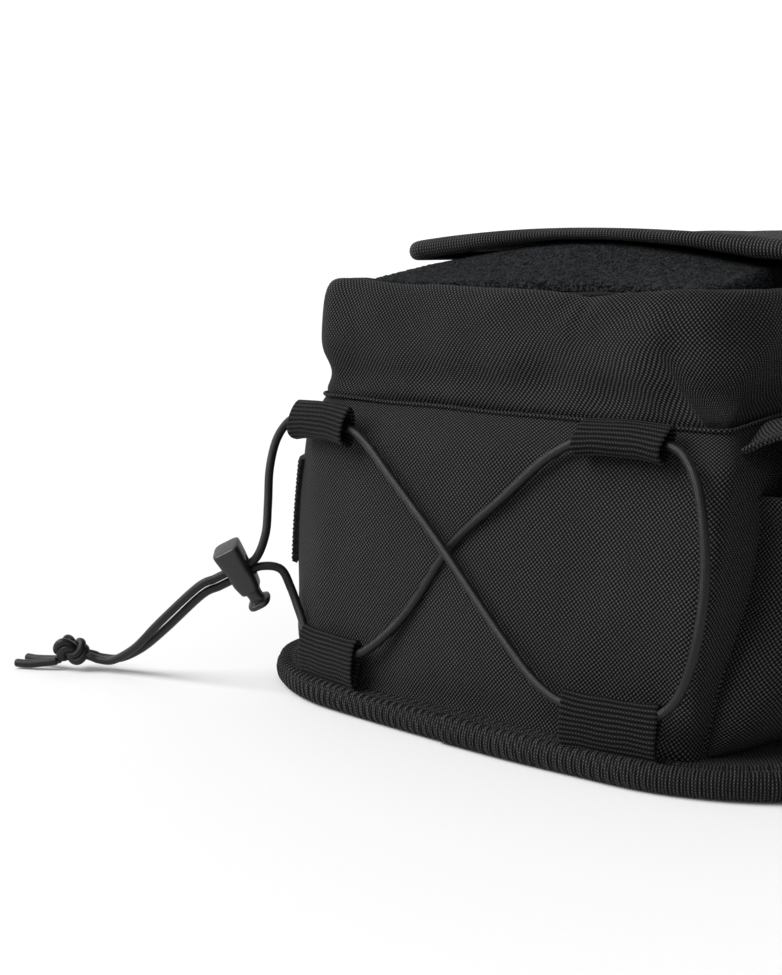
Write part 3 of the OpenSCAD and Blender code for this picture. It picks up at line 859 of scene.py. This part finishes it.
def webbing_loop(side, place):
    """Webbing wrapped round the cord, sewn flat along one edge and open at both ends."""
    centre, turn, lean, height, sewn = LOOPS[place]
    a, b = math.radians(turn), math.radians(lean)
    spin = np.array([[math.cos(a), -math.sin(a), 0], [math.sin(a), math.cos(a), 0], [0, 0, 1]])
    tilt = np.array([[math.cos(b), 0, math.sin(b)], [0, 1, 0], [-math.sin(b), 0, math.cos(b)]])
    section = np.linspace(0, 2 * math.pi, 72, endpoint=False)
    c, s = np.cos(section), np.sin(section)
    if sewn == "top":
        pinch, deep, droop = ((1 - c) / 2) ** 0.28, 4.6, -1.0
    else:
        pinch, deep, droop = ((1 + c) / 2) ** 0.5, 3.4, 0.2
    z = height / 2 * signed_power(c, 0.85)
    x = -deep * s * pinch * np.where(s < 0, 0.55, 1.0)
    across = np.linspace(-WEBBING / 2, WEBBING / 2, 17)
    rows = []
    for inner in (0, 1):
        shrink_x = 1 - inner * 1.1 / deep
        shrink_z = 1 - inner * 2.2 / height
        for y in (across if inner == 0 else across[::-1]):
            t = y / (WEBBING / 2)
            sag = droop * (1 - t * t)
            flare = 1 + 0.08 * t ** 4
            ragged = y + 0.25 * np.sin(section * 3 + 1)
            rows.append(np.column_stack([x * shrink_x * flare, ragged, z * shrink_z * flare - sag]))
    grid = np.array(rows) @ tilt.T @ spin.T + centre
    if side == "right":
        grid = grid * [-1, 1, 1]
    loop = cloth("loop_" + side + "_" + place + "_webbing", grid, WEB, closed=True, closed_rows=True)
    finish_piece(loop, "bag", "tape", "loop_" + side + "_" + place)


def grip_strip():
    """A strip of raised studs along the back wall, its ends reaching round the corners."""
    pitch, columns, half = 3, 470, 124
    share = np.linspace(-1, 1, columns)
    ends = ramp(1 - np.abs(share), 0, 0.006)
    rows = []
    for z in np.linspace(grip_low[2], grip_high[2], 78):
        plan = resample(outline(*body_section(z), chamfer=2.6), 3000, closed=True)
        plan = plan[(plan[:, 1] > 70) & (np.abs(plan[:, 0]) < half)]
        plan = resample(plan[np.argsort(plan[:, 0])], columns)
        tangent = unit(np.gradient(plan, axis=0))
        outward = np.column_stack([-tangent[:, 1], tangent[:, 0]])
        place = share * columns * 0.3
        edge = ramp(np.minimum(z - grip_low[2], grip_high[2] - z), -0.1, 0.6) * ends
        studs = np.clip(np.sin(place * 2 * math.pi / pitch) * np.sin(z * 2 * math.pi / pitch), -0.2, 1)
        plan = plan + outward * ((1.7 + 0.7 * studs) * edge)[:, None]
        rows.append(at_height(plan, z))
    strip = cloth("grip_studs", rows, GRIP, finer=0, facing=(0, 1, 0))
    finish_piece(strip, "bag", "grip", "back_grip_strip")


for side in ("left", "right"):
    for place in LOOPS:
        webbing_loop(side, place)
grip_strip()


# ---------- pocket ----------

def pouch_plan(z, out=0.0):
    """The pouch's outline at a height, drawn in at its seams half way up and puffed out over the base."""
    side = np.interp(z, (8, 25, 40, 53, 76, 91), (127, 123, 117, 111.5, 108, 113))
    depth = np.interp(z, (8, 11, 17, 28, 45, 70, 83), (7, 13, 20, 25.5, 27.5, 26.5, 24.5))
    start = body_section(z)[1] + 1.5
    a = np.linspace(-math.pi / 2, math.pi / 2, 400)
    x = (side + out * 0.5) * signed_power(np.sin(a), 0.55)
    y = start - (depth + out) * np.abs(np.cos(a)) ** 0.5
    return resample(np.column_stack([x, y]), 91)


def pouch_rows(heights):
    """Rows of the pouch's cloth, each at a height and that far outside it, slack between its seams."""
    rows = []
    for z, out in heights:
        row = at_height(pouch_plan(z, out), z)
        puff = 0.9 * waves(row * [1, 1, 0.6], 42, 41) + 0.4 * waves(row, 17, 42)
        free = ramp(118 - np.abs(row[:, 0]), 0, 12)
        row[:, 1] += puff * free * ramp(z, 7, 16) * (0.5 if z > 73 else 1)
        rows.append(row)
    return np.array(rows)


def pocket():
    """The pouch, its hem, the two sewn side seams and the loop strip that its flap closes on."""
    heights = (8, 9, 10.5, 13, 16, 20, 25, 31, 38, 45, 52, 59, 66, 72, 77, 81.5)
    rows = pouch_rows([(z, 0) for z in heights])
    face = cloth("pouch", rows, OXFORD, facing=(0, -1, 0), thick=1.6)
    finish_piece(face, "bag", "cloth", "pocket_face")
    fold = [(73.6, 0.2), (74, 1.0), (75, 1.3), (78, 1.2), (81.4, 1.3), (82.6, 0.9), (83.1, -0.4),
            (82.6, -1.8), (80, -2.2), (75, -2.2)]
    hem = cloth("pouch_hem", pouch_rows(fold), OXFORD, facing=(0, -1, 0))
    finish_piece(hem, "bag", "cloth", "pocket_hem")
    for end in (0, -1):
        line = resample(smooth_line(rows[:, end] + [0, -0.4, 0], 4), 120)
        name = "pouch_seam_left" if end == 0 else "pouch_seam_right"
        finish_piece(tube(name, line, 0.75, OXFORD, sides=10), "bag", "cloth")
    strip_rows = []
    x = np.linspace(-60, 60, 121)
    for z in np.linspace(58, 73, 17):
        plan = pouch_rows([(z, 0)])[0]
        y = np.interp(x, plan[:, 0], plan[:, 1]) - 1.1
        strip_rows.append(np.column_stack([x, y, np.full(len(x), z)]))
    strip = cloth("pouch_loop_strip", strip_rows, PILE, facing=(0, -1, 0), thick=1.0)
    finish_piece(strip, "bag", "pile", "pocket_loop_strip")


# The pocket flap's profile as (y, z), from the collar seam over its crest and down its front
HOOD_MIDDLE = [(-78.2, 103.4), (-82, 104.3), (-88, 105), (-95, 105.2), (-103, 104.4), (-110, 102),
               (-115.5, 98), (-118.4, 92), (-119.2, 84), (-119.3, 77), (-119.1, 70.5)]
HOOD_END = [(-80.2, 96.5), (-82.5, 97.6), (-88, 100.4), (-95, 102.8), (-102, 103), (-108, 100.5),
            (-112.5, 96.5), (-115.5, 91), (-116.8, 84), (-117, 77), (-116.8, 71)]
HOOD_HEM = len(HOOD_MIDDLE) - 1
HOOD_TURN = 7                       # the first profile point on its front


def hood_grid(profile_rows, out=0.0, reach=1.0):
    """The flap's cloth at some points of its profile, further out by out, over that share of its length."""
    x = np.linspace(hood_low[0] - 2, hood_high[0] + 2, 95) * reach
    share = ramp(np.abs(x), 100, 117)[:, None]
    rows = []
    for k in profile_rows:
        yz = np.array(HOOD_MIDDLE[k]) * (1 - share) + np.array(HOOD_END[k]) * share
        row = np.column_stack([x, yz])
        slack = (0.8 * waves(row, 55, 51) + 0.4 * waves(row, 22, 52)) * ramp(k, 0, 3)
        row[:, 2] += slack * (k < HOOD_TURN)
        row[:, 1] += slack * (5 <= k < HOOD_HEM) - out
        rows.append(row)
    return np.array(rows)


def hood():
    """The pocket's flap: it bends at the collar seam, and its open ends show the pocket's mouth."""
    grid = hood_grid(range(len(HOOD_MIDDLE)))
    cover = cloth("pocket_hood", grid, OXFORD, facing=(0, -0.7, 0.7), thick=2.2)
    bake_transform(cover)
    finish_piece(cover, None, "cloth", "pocket_flap")
    edge = hood_grid([HOOD_HEM])[0]
    fold = ((-0.2, 5.6), (-0.7, 5.0), (-0.8, 2.5), (-0.7, 0.2), (0.3, -0.9), (1.8, -0.9), (2.7, 0.4),
            (2.7, 4.6))
    rows = [edge + [0, dy, dz] for dy, dz in fold]
    tape = cloth("hood_tape", rows, TAPE, facing=(0, -1, 0))
    finish_piece(tape, "pocket_cover", "tape", "pocket_flap_binding")
    inner = hood_grid(range(HOOD_TURN, HOOD_HEM + 1), out=-3.0, reach=0.5)
    hook = cloth("hood_hook", inner, HOOK, facing=(0, 1, 0), thick=0.6)
    finish_piece(hook, "pocket_cover", "pile", "pocket_flap_hook")


pocket()
hood()


# ---------- lid ----------

LID_CREST = 153.5
LID_RIM = 141.5
LID_CORNER = 11
LID_ROUND = 4                       # how far in its top edge rounds over


def lid_arch(y):
    """Height of the lid's middle line, bulging up under the flap."""
    return LID_CREST - 8 * ((y - 8) / 77) ** 2


def lid():
    """The padded lid under the flap: loop pile above, lining below."""
    x = np.linspace(lid_low[0] - 1.5, lid_high[0] + 1.5, 230)
    y = np.linspace(lid_low[1], lid_high[1], 160)
    gx, gy = np.meshgrid(x, y)
    dome = LID_RIM + (lid_arch(gy) - LID_RIM) * (1 - ramp(np.abs(gx), 74, 112) ** 0.9)
    dome += 0.9 * waves(np.stack([gx, gy, dome * 0], 2), 60, 61)
    edge = np.minimum(np.minimum(gx - x[0], x[-1] - gx), np.minimum(gy - y[0], y[-1] - gy))
    # each square corner is drawn in to a round one
    past_x = np.maximum(np.abs(gx) - (x[-1] - LID_CORNER), 0)
    past_y = np.maximum(np.abs(gy - y.mean()) - (y[-1] - y.mean() - LID_CORNER), 0)
    pull = 1 - np.maximum(past_x, past_y) / np.maximum(np.hypot(past_x, past_y), 1e-6)
    gx = gx - np.sign(gx) * past_x * pull
    gy = gy - np.sign(gy - y.mean()) * past_y * pull
    round_off = 1 - np.sqrt(np.clip(1 - (1 - np.clip(edge / LID_ROUND, 0, 1)) ** 2, 0, 1))
    top = dome - (dome - lid_low[2]) * round_off
    rng = np.random.default_rng(5)
    fuzz = rng.uniform(0, 0.45, gx.shape) * (1 - round_off)
    drift = rng.normal(0, 0.22, gx.shape + (2,))
    grid = np.stack([gx + drift[..., 0], gy + drift[..., 1], top + fuzz], 2)
    cover = cloth("lid_cover", grid, PILE, finer=0, facing=(0, 0, 1))
    finish_piece(cover, "lid", "pile", "lid_pile")
    rows = []
    for share in (1.0, 0.985, 0.93, 0.7, 0.4, 0.05):
        plan = outline(106 * share, -63 * share + 10 * (1 - share), 84 * share, 9 * share, 9 * share)
        z = 134.4 - 1.1 * ramp(1 - share, 0, 0.05) + 0.5 * plan_waves(plan, 50, 62)
        rows.append(at_height(plan, z))
    under = cloth("lid_under", rows, LINING, closed=True, facing=(0, 0, -1), flat_uv=True)
    finish_piece(under, "lid", "lining", "lid_foam", "lid_lining")
    strip = [[(x, -66.6 + 0.3 * math.sin(x / 9 + z), z) for x in np.linspace(-90, 90, 61)]
             for z in np.linspace(118, 136, 7)]
    tape = cloth("lid_hinge_strip", strip, TAPE, facing=(0, -1, 0), thick=0.8)
    finish_piece(tape, "bag", "tape", "lid_hinge_tape")


lid()


# ---------- top flap ----------

FLAP_HALF = 82.5
FLAP_FAR = 92.5
FLAP_CORNER = 13
# The sewn-down strip on the collar's pocket side and the turn over its edge, as (y, z)
FLAP_HINGE = [(-79.2, 117), (-79.8, 124), (-80.0, 132), (-79.8, 139), (-79.0, 145), (-77.0, 150),
              (-73.5, 153.4), (-69.5, 155.2)]
FLAP_CREST = 159.0
FLAP_CREST_Y = 8


def flap_top(y):
    """Height of the flap's upper face, arched from its hinge over the lid to its nose."""
    past = y - FLAP_CREST_Y
    return FLAP_CREST - np.where(past > 0, 5.5 * (past / 83) ** 2, 3.6 * (past / 76) ** 2)


def flap_width(y):
    """Half length of the flap at a distance from its hinge, with its rounded free corners."""
    past = np.clip(y - (FLAP_FAR - FLAP_CORNER), 0, FLAP_CORNER - 0.01)
    return FLAP_HALF - FLAP_CORNER + math.sqrt(FLAP_CORNER ** 2 - past ** 2)


def flap_edge_height(y):
    """How thick the bound edge rolls: slim at the crest, fuller at the nose and towards the hinge."""
    places = (-75, -60, -48, -34, -4, 18, 43, 64, 82, 91)
    return np.interp(y, places, (5.5, 6.5, 5.8, 4.8, 3.8, 3.8, 5.2, 6.4, 6.8, 6.2))


def flap_cloth():
    """The flap's cloth, sewn to the collar and turned up over its edge."""
    rows = []
    width = FLAP_HALF - 4
    for y, z in FLAP_HINGE:
        rows.append([(x, y, z) for x in np.linspace(-width, width, 57)])
    sweep = np.radians(np.linspace(0, 84, 8))
    far_rows = FLAP_FAR - FLAP_CORNER + FLAP_CORNER * np.sin(sweep)
    for y in np.r_[np.linspace(-64, FLAP_FAR - FLAP_CORNER - 5, 24), far_rows]:
        width = flap_width(y) - 2.5
        rows.append([(x, y, float(flap_top(y)) - 0.9) for x in np.linspace(-width, width, 57)])
    grid = np.array(rows)
    loose = ramp(grid[..., 1], -70, -40)
    grid[..., 2] += (0.7 * waves(grid, 60, 71) + 0.25 * waves(grid, 20, 72)) * loose
    cover = cloth("flap_cloth", grid, OXFORD, facing=(0, -0.2, 1), thick=2.4)
    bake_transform(cover)
    finish_piece(cover, None, "cloth", "top_flap", "top_flap_hinge_tape")


def flap_edge():
    """The ribbed binding rolled round the flap's three free edges."""
    count, inset, rib_pitch = 2300, 2.6, 1.25
    corner_y = FLAP_FAR - FLAP_CORNER
    radius = FLAP_CORNER - inset
    left = [(-(FLAP_HALF - inset), y, 0) for y in np.linspace(-75, corner_y, 60)]
    for a in np.radians(np.linspace(0, 90, 24))[1:]:
        left.append((-(FLAP_HALF - FLAP_CORNER) - radius * math.cos(a), corner_y + radius * math.sin(a), 0))
    line = np.array(left)
    line = np.vstack([line, (line * [-1, 1, 1])[::-1]])
    height = flap_edge_height(line[:, 1])
    line[:, 2] = flap_top(line[:, 1]) + 0.2 - height / 2
    path = resample(np.column_stack([line, height]), count)
    line, height = path[:, :3], path[:, 3]
    tangent = unit(np.gradient(line, axis=0))
    side = unit(np.cross(tangent, [0, 0, 1]))
    up = np.cross(side, tangent)
    place = distances(line)
    turn = np.linspace(0, 2 * math.pi, 22, endpoint=False)
    rib = 0.05 * np.sin(2 * math.pi * place / rib_pitch)
    wide = np.cos(turn) * (2.9 + rib + 0.25 * np.sin(place / 17))[:, None]
    tall = np.sin(turn) * (height / 2 + rib)[:, None]
    ring = side[:, None] * wide[..., None] + up[:, None] * tall[..., None]
    roll = cloth("flap_edge", line[:, None] + ring, EDGE, closed=True, finer=0)
    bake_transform(roll)
    finish_piece(roll, None, "tape", "top_flap_binding")
    rows = [[(x, y, float(flap_top(y)) - 3.9) for x in np.linspace(-60, 60, 61)]
            for y in np.linspace(40, 78, 20)]
    hook = cloth("flap_hook_strip", rows, HOOK, facing=(0, 0, -1), thick=0.6)
    finish_piece(hook, "flap", "pile", "top_flap_hook")


flap_cloth()
flap_edge()


# ---------- inside ----------

def inside():
    """The smooth lining of the main compartment, down from the collar to a soft floor."""
    # height, half length, near side, far side and far corner
    sections = [(127, 113, -69, 89, 14), (112, 113.2, -70, 89.2, 14), (101, 114, -71, 90, 15),
                (91, 122, -79, 103, 30), (70, 127, -80, 104.5, 34), (40, 131, -79.5, 105, 36),
                (18, 133, -78, 105, 38), (11, 130, -76, 102, 36)]
    rows = []
    for z, half, near, far, corner in sections:
        row = at_height(outline(half, near, far, 10 if z < 101 else 12, corner, 2), z)
        row[:, :2] *= (1 - 0.006 * waves(row, 50, 81))[:, None]
        rows.append(row)
    for share in (0.93, 0.75, 0.5, 0.25, 0.03):
        plan = outline(130 * share, 13 - 89 * share, 13 + 89 * share, 10 * share, 36 * share, 2)
        rows.append(at_height(plan, 9.8 + 0.5 * plan_waves(plan, 60, 82)))
    tub = cloth("lining_tub", rows, LINING, closed=True)
    finish_piece(tub, "bag", "lining", "lining")


inside()


# ---------- studio ----------

def sun(name, strength, wide, aim):
    """A soft sun of that angle in degrees, shining along aim."""
    light = bpy.data.lights.new(name, "SUN")
    light.energy = strength
    light.angle = math.radians(wide)
    x, y, z = unit(aim)
    new_object(name, light).rotation_euler = (math.acos(-z), 0, math.atan2(y, x) - math.pi / 2)


def studio():
    """A white sweep, a surround that is brightest behind the bag, and two soft suns."""
    places = np.linspace(-6000, 6000, 3)
    floor = cloth("floor", [[(x, y, 0) for x in places] for y in places], FLOOR, finer=0, facing=(0, 0, 1),
                  flat_uv=True)
    world = bpy.data.worlds.new("studio")
    world.use_nodes = True
    tree = world.node_tree
    towards = tree.nodes.new("ShaderNodeTexCoord").outputs["Generated"]
    behind = tree.nodes.new("ShaderNodeVectorMath")
    behind.operation = "DOT_PRODUCT"
    tree.links.new(towards, behind.inputs[0])
    behind.inputs[1].default_value = (0.64, 0.77, 0.0)
    brightness = tree.nodes.new("ShaderNodeMapRange")
    tree.links.new(behind.outputs["Value"], brightness.inputs["Value"])
    for key, value in {"From Min": 0.45, "From Max": 0.85, "To Min": 0.34, "To Max": 1.1}.items():
        brightness.inputs[key].default_value = value
    tree.links.new(brightness.outputs[0], tree.nodes["Background"].inputs["Strength"])
    tree.nodes["Background"].inputs["Color"].default_value = (1, 1, 1, 1)
    bpy.context.scene.world = world
    bpy.context.scene.view_settings.view_transform = "Standard"
    sun("key", 3.8, 45, (0.66, -0.52, -0.78))
    sun("fill", 0.35, 60, (0.6, 0.65, -0.35))


studio()
